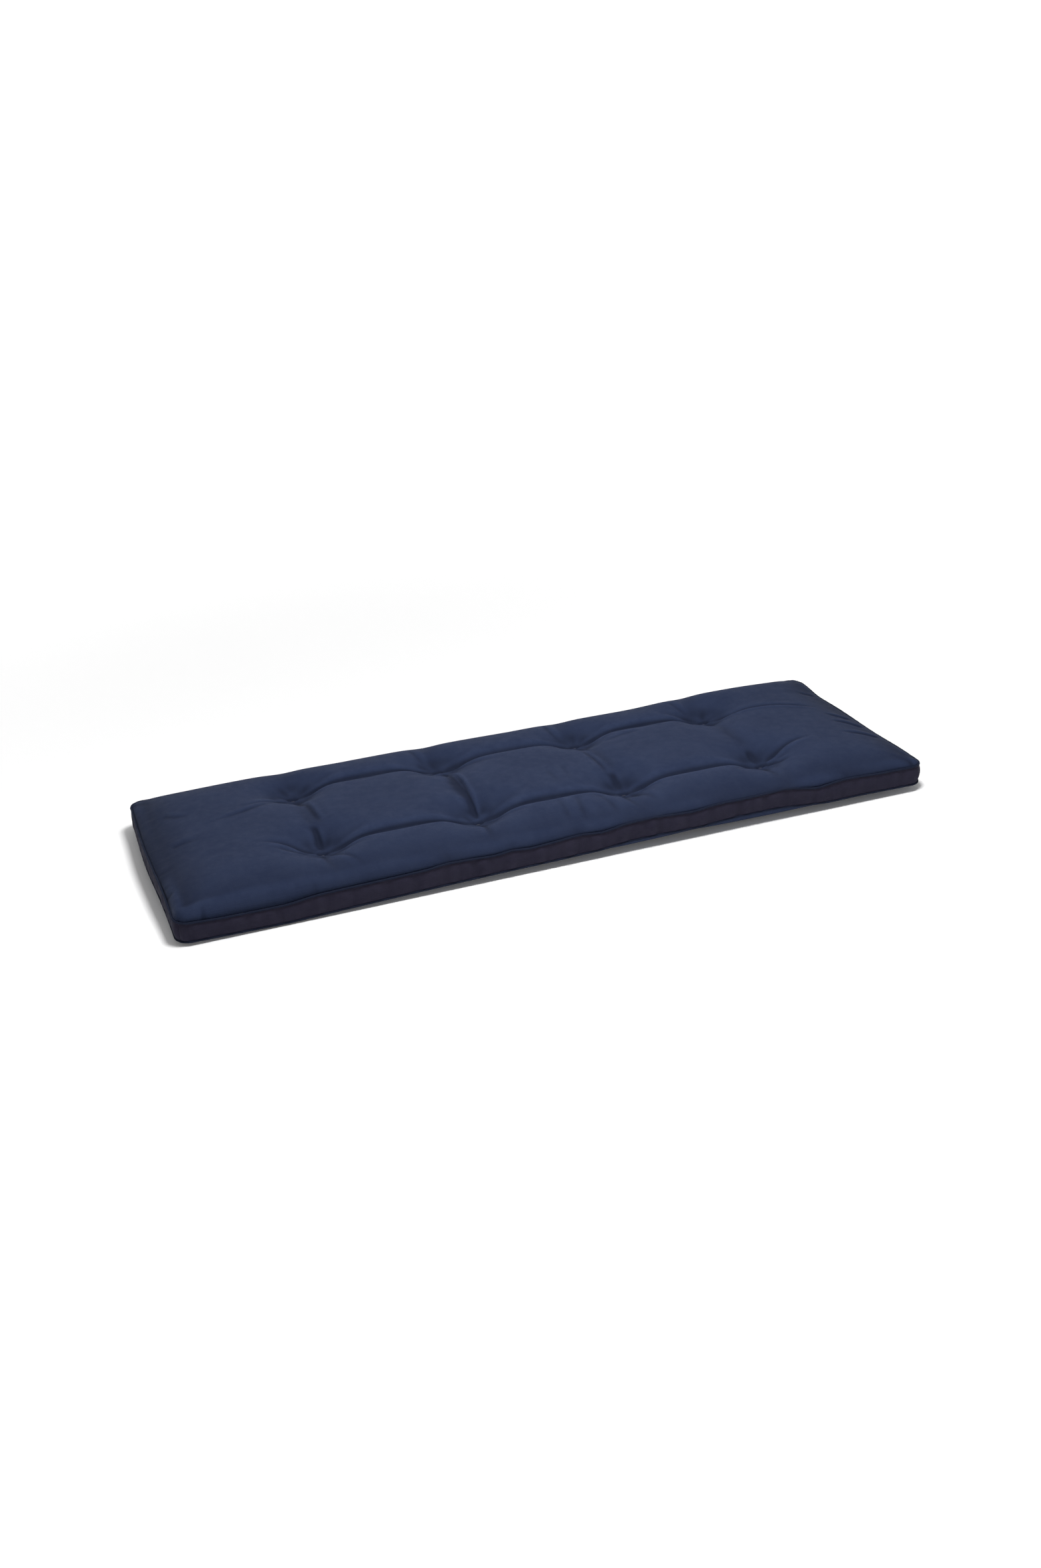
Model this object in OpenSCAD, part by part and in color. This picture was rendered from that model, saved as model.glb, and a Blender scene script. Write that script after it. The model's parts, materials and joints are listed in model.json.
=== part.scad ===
// Tufted mattress: a boxed and piped cloth cover, a foam core between two pads
// of wadding, and twine loops that draw the two faces together.
// Millimetres. The origin is at the middle of the underside, +X runs along the
// length, +Y towards the back and +Z up.

/* [Mattress] */
// Length between the end seams
length = 1500; // [1250:10:2000]
// Width between the front and back seams
width = 500; // [460:10:700]
// Height of the border between its two seams
border_h = 40; // [34:1:80]
// Rise of the top panel above its seam
top_crown = 35; // [20:1:50]
// Drop of the bottom panel below its seam
bottom_crown = 15; // [12:1:25]
// Radius of the corners in plan
corner_r = 18; // [15:1:40]

/* [Tufts] */
// Tufts in each of the two rows
tufts_per_row = 4; // [2:1:4]
// Distance between tufts along a row
tuft_pitch = 300; // [240:10:340]
// Distance between the two rows
row_gap = 250; // [210:10:270]
// Radius of the dimple round a tuft
dimple_r = 95; // [60:5:100]
// How far a tuft is drawn past the level of the seam
tuft_sink = 3; // [0:0.5:4]

/* [Cloth and thread] */
// Thickness of the cover cloth
cloth_t = 1; // [0.6:0.1:1.2]
// Radius of the piping
piping_r = 2; // [2:0.1:3]
// Height of the flange that holds the piping in its seam
flange_h = 11; // [6:1:12]
// Radius of the sewing thread
thread_r = 0.4; // [0.3:0.05:0.5]
// Radius of the tufting twine
twine_r = 1.2; // [0.8:0.1:1.5]
// Distance between the two legs of a twine loop
twine_gap = 7; // [5:0.5:8]

/* [Filling] */
// Thickness of the wadding between a tuft and the foam core
wadding_at_tuft = 2; // [1.5:0.1:3]
// Gap that keeps neighbouring layers apart
layer_gap = 0.3; // [0.2:0.1:0.5]

/* [Hidden] */
half_l = length / 2;
half_w = width / 2;
bottom_seam_z = bottom_crown;
top_seam_z = bottom_seam_z + border_h;
top_tuft_z = top_seam_z - tuft_sink;
bottom_tuft_z = bottom_seam_z + tuft_sink;
core_z = bottom_tuft_z + cloth_t + 2 * layer_gap + wadding_at_tuft;
core_t = top_tuft_z - cloth_t - 2 * layer_gap - wadding_at_tuft - core_z;
// Distances over which the faces roll up from their seams
top_roll = 110;
bottom_roll = 60;
// Distances inside the seam line
panel_inset = piping_r + 0.2;
filling_inset = piping_r + 2;
thread_inset = panel_inset + thread_r;
flange_t = 0.8;
flange_inset = cloth_t + 0.1;
// Height of a seam's thread from the seam line
thread_drop = 5;
// Hand-sewn seam that closes the cover, along the foot of the back border
closing_l = 420;
closing_pitch = 12;
closing_stitch_l = 4;
twine_hole_r = twine_r + 0.3;
core_hole_r = twine_gap / 2 + twine_hole_r;
knot_r = 3.2;
tail_l = 11;
// Gap between a bar of twine and the cloth under it
bar_gap = 0.2;
// Radius of the twine's bends at its centre line
bend_r = 2;

tuft_count = 2 * tufts_per_row;
last_x = (tufts_per_row - 1) / 2 * tuft_pitch;
tufts = [
    for (side = [-1, 1], k = [0 : tufts_per_row - 1])
        [k * tuft_pitch - last_x, side * row_gap / 2]
];

navy = [0.16, 0.20, 0.33];
border_navy = [0.14, 0.16, 0.27];
piping_navy = [0.12, 0.14, 0.24];
thread_navy = [0.10, 0.12, 0.20];
wadding_white = [0.93, 0.92, 0.88];
foam_yellow = [0.93, 0.87, 0.66];

// ---- Shape of the two faces ----

// Half the width of the flat patch at the bottom of a dimple
patch = 8;
patch_r = patch * sqrt(2);

// Share of the full rise at a distance inside the seam, over an elliptical roll
function roll(inside, reach) =
    inside >= reach ? 1 : sqrt(1 - pow(1 - max(inside, 0) / reach, 2));

// Share of the full rise at a point of a face
function swell(x, y, reach) = roll(half_l - abs(x), reach) * roll(half_w - abs(y), reach);

// How much a tuft at distance d draws a face in, from 1 at the tuft to 0
function pull(d) =
    let (share = max(d - patch_r, 0) / (dimple_r - patch_r))
    share >= 1 ? 0 : pow(1 - pow(share, 1.3), 2);

// The strongest pull of any tuft at a point
function tuft_pull(x, y) = max([for (t = tufts) pull(norm([x, y] - t))]);

function top_z(x, y) =
    let (rise = top_crown * swell(x, y, top_roll))
    top_seam_z + rise - (rise + tuft_sink) * tuft_pull(x, y);

function bottom_z(x, y) =
    let (drop = bottom_crown * swell(x, y, bottom_roll))
    bottom_seam_z - drop + (drop + tuft_sink) * tuft_pull(x, y);

// ---- Grid that the faces are drawn on ----

// Straight part of half of each side
flat_l = half_l - corner_r;
flat_w = half_w - corner_r;
corner_steps = 3;
// Grid lines on one side of a tuft, close together near it
near_tuft = [patch, 24, 52, 95];
// Grid lines further out, towards an end seam
far_from_tuft = [150, 200, 270, 350];

function near_lines(reach) = [for (d = near_tuft) if (d < reach) d];

function mirrored(lines) = [for (k = [len(lines) - 1 : -1 : 0]) -lines[k]];

// Lines between the tuft at 0 and the tuft at a distance
function between_lines(pitch) =
    let (near = near_lines(pitch / 2 - 15))
    concat(near, [pitch / 2], [for (d = mirrored(near)) pitch + d]);

// Lines from the last tuft to the seam, with a few round the corner
function outer_lines(reach) = concat(
    near_lines(reach - 30),
    [for (d = far_from_tuft) if (d < reach - 30) d],
    [for (k = [0 : corner_steps]) reach + k * corner_r / corner_steps]
);

function shifted(lines, by) = [for (d = lines) d + by];

end_lines = outer_lines(flat_l - last_x);
side_lines = outer_lines(flat_w - row_gap / 2);
grid_x = concat(
    shifted(mirrored(end_lines), -last_x),
    [for (k = [0 : tufts_per_row - 2]) each shifted(between_lines(tuft_pitch), k * tuft_pitch - last_x)],
    shifted(end_lines, last_x)
);
grid_y = concat(
    shifted(mirrored(side_lines), -row_gap / 2),
    shifted(between_lines(row_gap), -row_gap / 2),
    shifted(side_lines, row_gap / 2)
);
nx = len(grid_x);
ny = len(grid_y);
grid_size = nx * ny;

// A grid point moved so that the grid's square corners become round ones
function rounded(x, y) =
    let (cx = max(abs(x) - flat_l, 0) / corner_r, cy = max(abs(y) - flat_w, 0) / corner_r)
    [sign(x) * (min(abs(x), flat_l) + corner_r * cx * sqrt(1 - cy * cy / 2)),
     sign(y) * (min(abs(y), flat_w) + corner_r * cy * sqrt(1 - cx * cx / 2))];

// The same point on an outline that lies a little inside the seam line
function placed(x, y, inset) =
    let (p = rounded(x, y))
    [p.x * (1 - inset / half_l), p.y * (1 - inset / half_w)];

// Points of a whole grid at the heights z
function grid_points(z, inset) = [
    for (i = [0 : nx - 1], j = [0 : ny - 1])
        concat(placed(grid_x[i], grid_y[j], inset), z[i][j])
];

// Triangles over a whole grid, facing up
function face_triangles(start) = [
    for (i = [0 : nx - 2], j = [0 : ny - 2])
        let (a = start + i * ny + j, b = a + ny, c = b + 1, d = a + 1)
        each (i < nx / 2) == (j < ny / 2) ? [[a, c, b], [a, d, c]] : [[a, d, b], [b, d, c]]
];

function flipped(faces) = [
    for (f = faces) [for (k = [len(f) - 1 : -1 : 0]) f[k]]
];

// Grid points of the rim, in order round the outline
rim = concat(
    [for (i = [0 : nx - 2]) i * ny],
    [for (j = [0 : ny - 2]) (nx - 1) * ny + j],
    [for (i = [nx - 1 : -1 : 1]) i * ny + ny - 1],
    [for (j = [ny - 1 : -1 : 1]) j]
);

// Walls from a ring of points down to another ring
function walls(upper, lower) = [
    for (k = [0 : len(rim) - 1])
        let (next = (k + 1) % len(rim))
        each [[upper[k], upper[next], lower[next]], [upper[k], lower[next], lower[k]]]
];

function heights(of_top, shift) = [
    for (x = grid_x) [for (y = grid_y) (of_top ? top_z(x, y) : bottom_z(x, y)) + shift]
];

// Cloth whose lower side lies at the heights z
module cloth_sheet(z) {
    points = concat(grid_points(z, panel_inset), grid_points(z, panel_inset));
    lifted = [for (k = [0 : len(points) - 1]) points[k] + [0, 0, k < grid_size ? cloth_t : 0]];
    lower_rim = [for (k = rim) k + grid_size];
    polyhedron(lifted, concat(
        face_triangles(0), flipped(face_triangles(grid_size)), walls(rim, lower_rim)
    ));
}

// Wadding between the heights z and the level of the core's face
module wadding_pad(z, level) {
    above = z[0][0] > level;
    points = grid_points(z, filling_inset);
    ring = [for (k = [0 : len(rim) - 1]) grid_size + k];
    ring_points = [for (k = rim) [points[k].x, points[k].y, level]];
    faces = concat(face_triangles(0), walls(rim, ring), [ring]);
    polyhedron(concat(points, ring_points), above ? faces : flipped(faces));
}

// ---- Shapes that repeat ----

// Two holes at each tuft, for the legs of its twine
module twine_holes() {
    for (t = tufts, side = [-1, 1])
        translate([t.x + side * twine_gap / 2, t.y, -1])
            cylinder(r = twine_hole_r, h = top_seam_z + top_crown + 2, $fn = 24);
}

// Places a child at the middle of each rounded corner, turned outward by 45 degrees
module at_each_corner() {
    for (sx = [-1, 1], sy = [-1, 1])
        translate([sx * flat_l, sy * flat_w, 0])
            rotate(atan2(sy, sx)) children();
}

// Sweeps a section, whose x is outward from the seam line, along one side of the
// cover and round both its corners up to their middles
module along_side(angle, half_side, reach, turn) {
    rotate(angle) {
        translate([-half_side, -reach, 0]) rotate([90, 0, 90])
            linear_extrude(2 * half_side) mirror([1, 0]) children();
        for (end = [-1, 1])
            translate([end * half_side, corner_r - reach, 0])
                rotate(end > 0 ? -90 : -90 - turn)
                    rotate_extrude(angle = turn, $fn = 96)
                        translate([corner_r, 0]) children();
    }
}

// Sweeps a section right round the seam line
module round_the_seam() {
    along_side(0, flat_l, half_w, 45) children();
    along_side(90, flat_w, half_l, 45) children();
    along_side(180, flat_l, half_w, 45) children();
    along_side(270, flat_w, half_l, 45) children();
}

// ---- Sub-parts ----

module top_panel() {
    color(navy) difference() {
        cloth_sheet(heights(true, -cloth_t));
        twine_holes();
    }
}

module bottom_panel() {
    color(navy) difference() {
        cloth_sheet(heights(false, 0));
        twine_holes();
    }
}

// A strip of the border, which meets its neighbours in the middle of each corner
module border_strip(angle, half_side, reach) {
    clear_of_piping = piping_r + 0.2;
    slit_degrees = 0.6;
    color(border_navy) along_side(angle, half_side, reach, 45 - slit_degrees)
        translate([-cloth_t, bottom_seam_z + clear_of_piping])
            square([cloth_t, border_h - 2 * clear_of_piping]);
}

// Piping on the bottom seam line, with its flange standing inside the border
module bottom_piping() {
    flange_gap = piping_r + 0.05;
    color(piping_navy) {
        round_the_seam() translate([0, bottom_seam_z]) circle(r = piping_r, $fn = 32);
        round_the_seam()
            translate([-flange_inset - flange_t, bottom_seam_z + flange_gap])
                square([flange_t, flange_h - flange_gap]);
    }
}

// The same piping turned over on to the top seam line
module top_piping() {
    translate([0, 0, bottom_seam_z + top_seam_z]) mirror([0, 0, 1]) bottom_piping();
}

module foam_core() {
    inset = filling_inset;
    r = corner_r - inset;
    color(foam_yellow) difference() {
        translate([0, 0, core_z]) linear_extrude(core_t)
            polygon([
                for (q = [0 : 3], a = [0 : 10 : 90])
                    let (sx = (q == 0 || q == 3) ? 1 : -1, sy = q < 2 ? 1 : -1)
                    [sx * flat_l + r * cos(a + 90 * q), sy * flat_w + r * sin(a + 90 * q)]
            ]);
        for (t = tufts)
            translate([t.x, t.y, core_z - 1]) cylinder(r = core_hole_r, h = core_t + 2, $fn = 48);
    }
}

module upper_wadding() {
    color(wadding_white) difference() {
        wadding_pad(heights(true, -cloth_t - layer_gap), core_z + core_t + layer_gap);
        twine_holes();
    }
}

module lower_wadding() {
    color(wadding_white) difference() {
        wadding_pad(heights(false, cloth_t + layer_gap), core_z - layer_gap);
        twine_holes();
    }
}

// Line of sewing that holds a panel, the piping and the border together
module seam_thread(z) {
    color(thread_navy) round_the_seam()
        translate([-thread_inset, z]) circle(r = thread_r, $fn = 16);
}

module corner_seam_threads() {
    inset = cloth_t + thread_r + 0.1;
    low = bottom_seam_z + flange_h + 0.5;
    color(thread_navy) at_each_corner()
        translate([corner_r - inset, 0, low])
            cylinder(r = thread_r, h = top_seam_z - flange_h - 0.5 - low, $fn = 16);
}

module closing_stitches() {
    last = floor(closing_l / closing_pitch / 2);
    color(thread_navy)
        for (k = [-last : last])
            translate([k * closing_pitch, half_w + thread_r, bottom_seam_z + piping_r + 0.3])
                cylinder(r = thread_r, h = closing_stitch_l, $fn = 16);
}

// Half of a bar of twine, with the bend that leads down into a leg
module half_bar(bar_z) {
    translate([0, 0, bar_z]) rotate([0, 90, 0])
        cylinder(r = twine_r, h = twine_gap / 2 - bend_r, $fn = 24);
    translate([twine_gap / 2 - bend_r, 0, bar_z - bend_r]) rotate([90, 0, 0])
        rotate_extrude(angle = 90, $fn = 48)
            translate([bend_r, 0]) circle(r = twine_r, $fn = 24);
}

// A loop of twine: a bar in the top dimple, two legs through the filling, and a
// knot with two tails under a second bar in the bottom dimple
module tuft_twine(at) {
    bar_z = top_tuft_z + twine_r + bar_gap;
    foot_z = bottom_tuft_z - twine_r - bar_gap;
    knot_z = foot_z - knot_r + 1;
    color(thread_navy) translate([at.x, at.y, 0]) {
        for (turn = [0, 180]) rotate(turn) {
            half_bar(bar_z);
            translate([twine_gap / 2, 0, foot_z + bend_r])
                cylinder(r = twine_r, h = bar_z - foot_z - 2 * bend_r, $fn = 24);
            mirror([0, 0, 1]) half_bar(-foot_z);
        }
        translate([0, 0, knot_z]) sphere(r = knot_r, $fn = 32);
        for (side = [-1, 1])
            translate([0, 0, knot_z]) rotate([0, side * 100, 30])
                translate([0, 0, knot_r / 2]) cylinder(r = twine_r * 0.8, h = tail_l, $fn = 24);
    }
}

top_panel();
bottom_panel();
border_strip(0, flat_l, half_w);  // front_border
border_strip(180, flat_l, half_w);  // back_border
border_strip(270, flat_w, half_l);  // left_border
border_strip(90, flat_w, half_l);  // right_border
top_piping();
bottom_piping();
foam_core();
upper_wadding();
lower_wadding();
seam_thread(top_seam_z - thread_drop);  // top_seam_thread
seam_thread(bottom_seam_z + thread_drop);  // bottom_seam_thread
corner_seam_threads();
closing_stitches();
for (k = [1 : tuft_count])
    tuft_twine(tufts[k - 1]);
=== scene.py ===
import json
import math

import bpy
import numpy as np
from mathutils import Matrix, Vector


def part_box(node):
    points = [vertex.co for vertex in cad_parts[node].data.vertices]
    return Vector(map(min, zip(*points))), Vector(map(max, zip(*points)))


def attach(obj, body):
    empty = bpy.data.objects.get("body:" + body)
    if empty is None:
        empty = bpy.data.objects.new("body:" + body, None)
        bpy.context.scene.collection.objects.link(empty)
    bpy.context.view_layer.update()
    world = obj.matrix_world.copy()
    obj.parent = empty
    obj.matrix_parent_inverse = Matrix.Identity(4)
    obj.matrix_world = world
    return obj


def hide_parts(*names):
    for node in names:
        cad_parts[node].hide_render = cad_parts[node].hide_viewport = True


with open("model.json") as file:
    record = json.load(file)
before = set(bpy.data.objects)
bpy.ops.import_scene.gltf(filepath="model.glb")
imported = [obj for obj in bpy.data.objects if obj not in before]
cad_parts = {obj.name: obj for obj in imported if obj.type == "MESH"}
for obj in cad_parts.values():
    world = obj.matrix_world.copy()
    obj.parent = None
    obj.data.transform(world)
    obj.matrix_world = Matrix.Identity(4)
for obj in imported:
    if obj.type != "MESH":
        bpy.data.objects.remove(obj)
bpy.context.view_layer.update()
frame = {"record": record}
MM = 0.001

# ---- Measures taken from the frame, in millimetres ----


def box_mm(node):
    low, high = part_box(node)
    return np.array(low) / MM, np.array(high) / MM


PIPING_R = 2.0
CORNER_R = 26.0
low, high = box_mm("top_piping")
HALF_L = high[0] - PIPING_R
HALF_W = high[1] - PIPING_R
TOP_SEAM = high[2] - PIPING_R
low, high = box_mm("bottom_piping")
BOTTOM_SEAM = low[2] + PIPING_R
TOP_Z = box_mm("top_panel")[1][2]
TUFTS = []
for k in range(1, 9):
    low, high = box_mm(f"tuft_twine_{k}")
    TUFTS.append(((low[0] + high[0]) / 2, (low[1] + high[1]) / 2))
TUFT_XS = sorted({round(t[0], 3) for t in TUFTS})
ROW_Y = max(t[1] for t in TUFTS)
TUFT_DRAW = 3.0  # how far past the seam the twine draws the cloth
TOP_TUFT_Z = TOP_SEAM - TUFT_DRAW
BOTTOM_TUFT_Z = BOTTOM_SEAM + TUFT_DRAW
UP = np.array([0, 0, 1.0])

# ---- Camera, light and floor ----

scene = bpy.context.scene
scene.view_settings.view_transform = "Standard"

camera = bpy.data.objects.new("camera", bpy.data.cameras.new("camera"))
scene.collection.objects.link(camera)
camera.data.lens = 33.27
camera.data.sensor_width = 36.0
forward = Vector((0.30315, 0.85415, -0.42252)).normalized()
right = Vector((0.93562, -0.35094, -0.03818)).normalized()
up = right.cross(forward).normalized()
place = Matrix((right, up, -forward)).transposed().to_4x4()
place.translation = Vector((-0.8887, -2.4542, 1.2180 + TOP_SEAM * MM))
camera.matrix_world = place
scene.camera = camera


def area_light(name, spot, target, size, power):
    data = bpy.data.lights.new(name, "AREA")
    data.shape = "RECTANGLE"
    data.size, data.size_y = size
    data.energy = power
    lamp = bpy.data.objects.new(name, data)
    scene.collection.objects.link(lamp)
    lamp.location = spot
    lamp.rotation_euler = (Vector(target) - Vector(spot)).to_track_quat("-Z", "Y").to_euler()


area_light("key", (0.1, -0.5, 2.2), (0.05, 0, 0), (0.6, 0.5), 50)
area_light("fill", (1.8, -2.2, 1.6), (0, 0, 0), (2.0, 1.5), 1.6)
area_light("overhead", (0.0, 0.0, 3.0), (0, 0, 0), (1.6, 1.2), 10)

world = bpy.data.worlds.new("studio")
scene.world = world
world.use_nodes = True
world.node_tree.nodes["Background"].inputs["Color"].default_value = (1, 1, 1, 1)
world.node_tree.nodes["Background"].inputs["Strength"].default_value = 0.2

# A floor that runs into a low wall behind. Far from the object it glows, so that it stays pale.
FLOOR_Z, FLOOR_HALF, WALL_Y, WALL_TOP = -0.0005, 12.0, 9.0, 4.0
floor_mesh = bpy.data.meshes.new("floor")
floor_mesh.from_pydata(
    [
        (-FLOOR_HALF, -FLOOR_HALF, FLOOR_Z), (FLOOR_HALF, -FLOOR_HALF, FLOOR_Z),
        (FLOOR_HALF, WALL_Y, FLOOR_Z), (-FLOOR_HALF, WALL_Y, FLOOR_Z),
        (FLOOR_HALF, WALL_Y, WALL_TOP), (-FLOOR_HALF, WALL_Y, WALL_TOP),
    ],
    [], [(0, 1, 2, 3), (3, 2, 4, 5)],
)
floor = bpy.data.objects.new("floor", floor_mesh)
scene.collection.objects.link(floor)
floor_mat = bpy.data.materials.new("floor")
floor_mat.use_nodes = True
floor_tree = floor_mat.node_tree
bsdf = floor_tree.nodes["Principled BSDF"]
bsdf.inputs["Base Color"].default_value = (0.93, 0.93, 0.93, 1)
bsdf.inputs["Roughness"].default_value = 0.9
bsdf.inputs["Specular IOR Level"].default_value = 0.0
bsdf.inputs["Emission Color"].default_value = (1, 1, 1, 1)
floor_place = floor_tree.nodes.new("ShaderNodeTexCoord")
floor_reach = floor_tree.nodes.new("ShaderNodeVectorMath")
floor_reach.operation = "LENGTH"
floor_glow = floor_tree.nodes.new("ShaderNodeMapRange")
for name, value in (("From Min", 0.7), ("From Max", 3.2), ("To Min", 0.06), ("To Max", 0.9)):
    floor_glow.inputs[name].default_value = value
floor_tree.links.new(floor_place.outputs["Object"], floor_reach.inputs[0])
floor_tree.links.new(floor_reach.outputs["Value"], floor_glow.inputs["Value"])
floor_tree.links.new(floor_glow.outputs[0], bsdf.inputs["Emission Strength"])
floor_mesh.materials.append(floor_mat)

# ---- Grid of the cover ----
# Each panel is a grid of points [i, j]: i runs along the length and j from front to back.


def lines(*stops):
    """Grid lines from stop to stop, given as (place, number of steps to the next stop)."""
    out = []
    for (a, n), (b, _) in zip(stops, stops[1:]):
        out += list(np.linspace(a, b, n, endpoint=False))
    return np.array(out + [stops[-1][0]])


last_x = max(TUFT_XS)
gx = lines((-HALF_L, 48), (-last_x, 150), (last_x, 48), (HALF_L, 0))
gy = lines((-HALF_W, 21), (-ROW_Y, 42), (ROW_Y, 21), (HALF_W, 0))
nx, ny = len(gx), len(gy)
flat_l, flat_w = HALF_L - CORNER_R, HALF_W - CORNER_R


def near(grid, value):
    return int(np.argmin(np.abs(grid - value)))


def rounded(x, y):
    """The same point once the square corners of the grid are turned into round ones."""
    cx = np.maximum(np.abs(x) - flat_l, 0) / CORNER_R
    cy = np.maximum(np.abs(y) - flat_w, 0) / CORNER_R
    px = np.sign(x) * (np.minimum(np.abs(x), flat_l) + CORNER_R * cx * np.sqrt(1 - cy**2 / 2))
    py = np.sign(y) * (np.minimum(np.abs(y), flat_w) + CORNER_R * cy * np.sqrt(1 - cx**2 / 2))
    return px, py


def roll(inside, reach):
    t = np.clip(inside / reach, 0, 1)
    return np.sqrt(1 - (1 - t) ** 2)


def swell(x, y, reach):
    return roll(HALF_L - np.abs(x), reach) * roll(HALF_W - np.abs(y), reach)


def tuft_pull(x, y, reach, power):
    pull = np.zeros_like(x)
    for tx, ty in TUFTS:
        d = np.hypot(x - tx, y - ty)
        pull = np.maximum(pull, np.clip(1 - d / reach, 0, 1) ** power)
    return pull


def outline(n, m):
    """Rim of a grid, in order round the outline, seen from above."""
    return (
        [(i, 0) for i in range(n - 1)] + [(n - 1, j) for j in range(m - 1)]
        + [(i, m - 1) for i in range(n - 1, 0, -1)] + [(0, j) for j in range(m - 1, 0, -1)]
    )


rim = outline(nx, ny)
rim_i = np.array([r[0] for r in rim])
rim_j = np.array([r[1] for r in rim])
n_rim = len(rim)

# How far the front seams have sunk or risen along the length, in millimetres
TOP_SEAM_FRONT = (
    (-740, -11), (-668, -15), (-550, -16), (-492, -9), (-440, -8), (-350, -6.5), (-288, -5),
    (-255, -0.5), (-208, -2), (-157, -5), (-128, -0.5), (-95, -5), (-45, -2), (5, 2), (52, -3),
    (99, 5), (158, 6.6), (203, 3), (240, 1), (287, 6.8), (345, 6), (412, 7.8), (430, 10),
    (467, 4), (507, -4), (538, 1), (569, 3.7), (608, 2.2), (645, 0), (740, -1),
)
BOTTOM_SEAM_FRONT = (
    (-740, -8), (-550, -11), (-450, -8), (-300, -4), (-150, -1), (-45, 0), (50, 2), (99, 7),
    (160, 8), (250, 6), (330, 11), (420, 11), (470, 6), (530, 1), (600, 2), (740, 0),
)


def seam_shift(x, y, front, seed, size):
    """Height of a seam above its level, over a whole rim."""
    fx, fz = np.array(front).T
    fine = np.linspace(-HALF_L, HALF_L, 371)
    z = np.interp(fine, fx, fz)
    kernel = np.exp(-0.5 * (np.arange(-6, 7) / 2.2) ** 2)
    z = np.convolve(np.pad(z, 6, mode="edge"), kernel / kernel.sum(), "valid")
    front_z = np.interp(x, fine, z)
    other = size * (
        np.sin(x / 61 + seed) + 0.7 * np.sin(x / 33 + 2.1 * seed + y / 50)
        + 0.8 * np.sin(y / 43 + 1.3 * seed)
    )
    share = np.clip((y + HALF_W) / 160, 0, 1)
    share = share * share * (3 - 2 * share)
    return front_z * (1 - share) + other * share


# ---- Cloth simulation ----


def new_mesh(name, points, faces):
    mesh = bpy.data.meshes.new(name)
    faces = faces.tolist() if isinstance(faces, np.ndarray) else faces
    mesh.from_pydata((np.asarray(points) * MM).tolist(), [], faces)
    mesh.update()
    obj = bpy.data.objects.new(name, mesh)
    scene.collection.objects.link(obj)
    return obj


def simulate(points, quads, rest_points, pinned, frames, **settings):
    """Inflates cloth held at its pinned points, and returns where its points end up."""
    obj = new_mesh("simulated", points, quads)
    obj.shape_key_add(name="Basis")
    key = obj.shape_key_add(name="cut")
    key.data.foreach_set("co", (rest_points * MM).astype(np.float32).ravel())
    key.value = 0
    group = obj.vertex_groups.new(name="pins")
    for weight in sorted(set(pinned.values())):
        group.add([k for k, w in pinned.items() if w == weight], weight, "REPLACE")
    mod = obj.modifiers.new("cloth", "CLOTH")
    s = mod.settings
    s.vertex_group_mass = "pins"
    s.rest_shape_key = key
    s.effector_weights.gravity = 0
    s.use_pressure = True
    s.air_damping = 2
    for name, value in settings.items():
        setattr(s, name, value)
    mod.point_cache.frame_start, mod.point_cache.frame_end = 1, frames
    scene.frame_start, scene.frame_end = 1, frames
    for f in range(1, frames + 1):
        scene.frame_set(f)
    held = obj.evaluated_get(bpy.context.evaluated_depsgraph_get())
    done = held.to_mesh()
    out = np.empty(len(done.vertices) * 3, dtype=np.float32)
    done.vertices.foreach_get("co", out)
    held.to_mesh_clear()
    scene.frame_set(1)
    bpy.data.objects.remove(obj)
    return out.reshape(-1, 3).astype(float) / MM


def grid_quads(n, m, start=0, flip=False):
    i, j = np.meshgrid(np.arange(n - 1), np.arange(m - 1), indexing="ij")
    a = start + i * m + j
    quads = np.stack([a, a + m, a + m + 1, a + 1], -1).reshape(-1, 4)
    return quads[:, ::-1] if flip else quads


def stretched(v, inner, k_inner, k_outer):
    m = np.minimum(np.abs(v), inner)
    return np.sign(v) * (m * k_inner + np.maximum(np.abs(v) - inner, 0) * k_outer)


PLAN_X, PLAN_Y = rounded(*np.meshgrid(gx, gy, indexing="ij"))
seam_x, seam_y = PLAN_X[rim_i, rim_j], PLAN_Y[rim_i, rim_j]
top_seam_z = TOP_SEAM + seam_shift(seam_x, seam_y, TOP_SEAM_FRONT, 0.6, 1.6)
bottom_seam_z = BOTTOM_SEAM + seam_shift(seam_x, seam_y, BOTTOM_SEAM_FRONT, 2.9, 1.5)
back_j, front_j = near(gy, ROW_Y), near(gy, -ROW_Y)

FACE = dict(
    quality=5, mass=0.1, tension_stiffness=60, compression_stiffness=60, shear_stiffness=5,
    bending_stiffness=0.1, uniform_pressure_force=15, pin_stiffness=5,
)


# How much larger the cloth is cut than its plan: between the tufts, and outside them
CUT_ALONG, CUT_ACROSS = (1.018, 1.014), (1.018, 1.075)
# How far the first shape rolls up from its seam, and how far and how sharply a tuft draws it in
START_ROLL, START_PULL = 70, (75, 1.7)


def face_start(level, rise, tuft_z, seam_z):
    """First shape of a panel, rolled up or down from its seam and drawn in at the tufts."""
    grid = np.zeros((nx, ny, 3))
    grid[..., 0], grid[..., 1] = PLAN_X, PLAN_Y
    height = rise * swell(PLAN_X, PLAN_Y, START_ROLL)
    share = tuft_pull(PLAN_X, PLAN_Y, *START_PULL)
    grid[..., 2] = (level + height) * (1 - share) + tuft_z * share
    grid[rim_i, rim_j, 2] = seam_z
    return grid


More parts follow.
